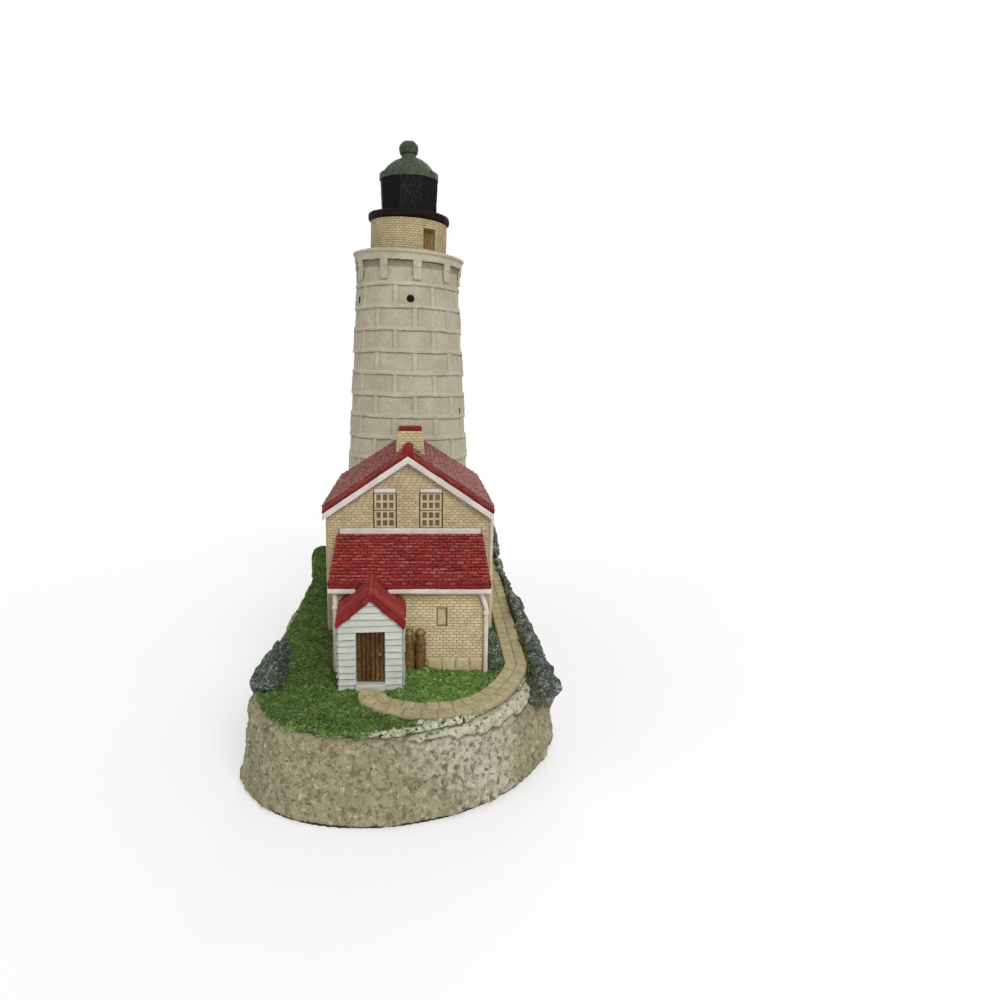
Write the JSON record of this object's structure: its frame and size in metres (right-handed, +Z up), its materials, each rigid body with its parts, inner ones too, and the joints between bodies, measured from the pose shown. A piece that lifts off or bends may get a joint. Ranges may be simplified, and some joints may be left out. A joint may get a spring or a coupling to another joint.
{
  "type": "lighthouse figurine",
  "caption": "Cast resin lighthouse ornament: a banded white tower behind a brick keeper's house with red roofs and a porch, on a grassy headland with rocks.",
  "frame": {"origin": "middle of the base's underside, on the surface that it stands on", "axes": "+Z up, +Y from the porch back to the tower, +X to the right of someone facing the porch"},
  "size_m": [0.062, 0.1304, 0.1391],
  "materials": {
    "felt": "felt",
    "cliff": "sponged tan and white paint on cast resin",
    "turf": "stippled green paint on cast resin",
    "path": "tan paint on cast resin",
    "rock": "dark grey paint, dry-brushed white",
    "shrub": "dark green paint, speckled white",
    "tower_white": "warm white paint with a grey wash",
    "watch_brick": "cream brick paint",
    "lantern_black": "satin black paint",
    "dome_green": "dark green-grey paint, dry-brushed",
    "house_brick": "cream brick paint with a darker wash",
    "roof_red": "red paint, dry-brushed pink",
    "trim_white": "off-white paint",
    "clapboard": "white paint with a grey-green wash",
    "door_brown": "brown paint with a tan dry-brush",
    "knob": "aged"
  },
  "bodies": {
    "root": {"felt_pad": "felt", "cliff_base": "cliff", "lawn": "turf", "footpath": "path", "left_boulders": "rock", "right_boulders": "rock", "back_boulders": "rock", "corner_shrub": "shrub", "tower_shaft": "tower_white", "portholes": "lantern_black", "shaft_window": "lantern_black", "tower_gallery": "tower_white", "watch_room": "watch_brick", "watch_room_door": "door_brown", "lantern_deck": "lantern_black", "lantern_room": "lantern_black", "lantern_dome": "dome_green", "ball_vent": "dome_green", "house_walls": "house_brick", "house_roof": "roof_red", "front_fascia": "trim_white", "rear_fascia": "trim_white", "gable_window_left": "trim_white", "gable_window_right": "trim_white", "window_lintels": "house_brick", "chimney_stack": "house_brick", "chimney_cap": "roof_red", "leanto_walls": "house_brick", "leanto_roof": "roof_red", "leanto_flashing": "trim_white", "leanto_niche_panel": "house_brick", "foundation_stones": "house_brick", "gutter_left": "trim_white", "gutter_right": "trim_white", "downspout_left": "trim_white", "downspout_right": "trim_white", "side_downspout_left": "trim_white", "side_downspout_right": "trim_white", "porch_walls": "clapboard", "porch_roof": "roof_red", "porch_door": "door_brown", "door_knob": "knob", "porch_step": "clapboard", "bollard_left": "door_brown", "bollard_right": "door_brown"}
  },
  "joints": []
}
